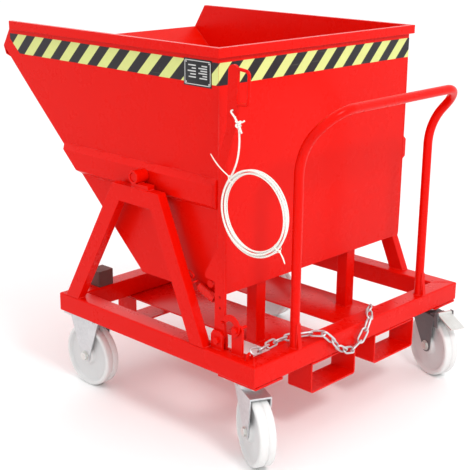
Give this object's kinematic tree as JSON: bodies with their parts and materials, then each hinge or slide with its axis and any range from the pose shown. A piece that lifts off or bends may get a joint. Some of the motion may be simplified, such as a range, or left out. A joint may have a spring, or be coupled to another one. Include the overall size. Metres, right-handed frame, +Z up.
{
  "type": "tipping skip",
  "caption": "Forklift tipping skip on castors: sloped hopper pivoting in two A-frames over a tube base with fork pockets, latch lever, push bar and pull rope.",
  "frame": {"origin": "middle of the footprint of the whole skip, on the floor, rope left out", "axes": "+X forwards, the way the hopper tips; +Y to its left; +Z up"},
  "size_m": [1.2522, 1.0032, 1.115],
  "materials": {
    "red_paint": "gloss red powder coat",
    "galvanised": "zinc-plated pressed steel",
    "zinc_bolt": "zinc-plated fasteners",
    "nylon": "natural white polyamide",
    "buffer": "worn grey-brown buffer rubber",
    "dark_steel": "black brake housing",
    "plate_black": "blank black plate with a pale border",
    "tape": "black and luminous yellow diagonal tape",
    "rope": "white braided cord",
    "tie": "natural nylon cable tie"
  },
  "bodies": {
    "chassis": {"rail_left": "red_paint", "rail_right": "red_paint", "fork_pocket_left": "red_paint", "fork_pocket_right": "red_paint", "a_frame_left": "red_paint", "a_frame_right": "red_paint", "pivot_bush_left": "red_paint", "pivot_bush_right": "red_paint", "stop_block_left": "buffer", "stop_block_right": "buffer", "front_fork_left": "galvanised", "front_fork_right": "galvanised", "swivel_plate_left": "galvanised", "swivel_plate_right": "galvanised", "rear_post_left": "red_paint", "rear_post_right": "red_paint", "front_cross_member": "red_paint", "rear_cross_member": "red_paint", "pivot_pedestals": "red_paint", "latch_bracket": "red_paint", "lever_pivot_bolt": "red_paint", "safety_lug": "red_paint", "safety_bolt": "red_paint", "spring_anchor": "red_paint", "latch_spring": "red_paint", "securing_chain": "galvanised", "chain_eyes": "red_paint", "push_bar": "red_paint", "push_bar_gussets": "red_paint", "castor_bolts": "zinc_bolt", "front_axles": "zinc_bolt"},
    "hopper": {"hopper_side_left": "red_paint", "hopper_side_right": "red_paint", "hopper_stiffener_left": "red_paint", "hopper_stiffener_right": "red_paint", "pivot_pin_left": "red_paint", "pivot_pin_right": "red_paint", "hopper_rear_panel": "red_paint", "hopper_floor": "red_paint", "catch_pin": "red_paint", "nameplate": "plate_black", "warning_tape": "tape"},
    "latch": {"latch_lever": "red_paint", "release_handle": "red_paint", "pull_rope": "rope", "rope_coil": "rope", "rope_knot": "rope", "cable_ties": "tie"},
    "safety_catch": {"safety_catch": "red_paint"},
    "wheel_front_left": {"front_wheel_left": "nylon"},
    "wheel_front_right": {"front_wheel_right": "nylon"},
    "swivel_left": {"rear_fork_left": "galvanised", "rear_axle_left": "zinc_bolt"},
    "swivel_right": {"rear_fork_right": "dark_steel", "rear_axle_right": "zinc_bolt", "brake_housing": "dark_steel"},
    "wheel_rear_left": {"rear_wheel_left": "nylon"},
    "wheel_rear_right": {"rear_wheel_right": "nylon"},
    "brake_pedal": {"brake_pedal": "galvanised"}
  },
  "joints": [
    {"name": "hopper_tip", "type": "hinge", "parent": "chassis", "child": "hopper", "pos_m": [-0.0601, -0.0106, 0.736], "axis": [0, 1, 0], "range_deg": [0, 61.3]},
    {"name": "latch_lever_swing", "type": "hinge", "parent": "chassis", "child": "latch", "pos_m": [-0.3641, 0.4394, 0.326], "axis": [0, -1, 0], "range_deg": [0, 14], "stiffness_Nm_per_rad": 16, "springref_deg": -14.32, "deforming": ["latch_spring"]},
    {"name": "safety_catch_lift", "type": "hinge", "parent": "chassis", "child": "safety_catch", "pos_m": [-0.4321, 0.4474, 0.374], "axis": [0, -1, 0], "range_deg": [0, 60]},
    {"name": "front_wheel_left_spin", "type": "hinge", "parent": "chassis", "child": "wheel_front_left", "pos_m": [0.2229, 0.4144, 0.1], "axis": [0, 1, 0], "continuous": true},
    {"name": "front_wheel_right_spin", "type": "hinge", "parent": "chassis", "child": "wheel_front_right", "pos_m": [0.2229, -0.4356, 0.1], "axis": [0, 1, 0], "continuous": true},
    {"name": "rear_swivel_left", "type": "hinge", "parent": "chassis", "child": "swivel_left", "pos_m": [-0.4571, 0.4144, 0.22], "axis": [0, 0, 1], "continuous": true},
    {"name": "rear_wheel_left_spin", "type": "hinge", "parent": "swivel_left", "child": "wheel_rear_left", "pos_m": [-0.50165, 0.4371, 0.1], "axis": [0.454, 0.891, 0], "continuous": true},
    {"name": "rear_swivel_right", "type": "hinge", "parent": "chassis", "child": "swivel_right", "pos_m": [-0.4571, -0.4356, 0.22], "axis": [0, 0, 1], "continuous": true},
    {"name": "rear_wheel_right_spin", "type": "hinge", "parent": "swivel_right", "child": "wheel_rear_right", "pos_m": [-0.50409, -0.4185, 0.1], "axis": [0.342, 0.9397, 0], "continuous": true},
    {"name": "brake_pedal_lift", "type": "hinge", "parent": "swivel_right", "child": "brake_pedal", "pos_m": [-0.54825, -0.40242, 0.2222], "axis": [0.342, 0.9397, 0], "range_deg": [0, 14]}
  ]
}
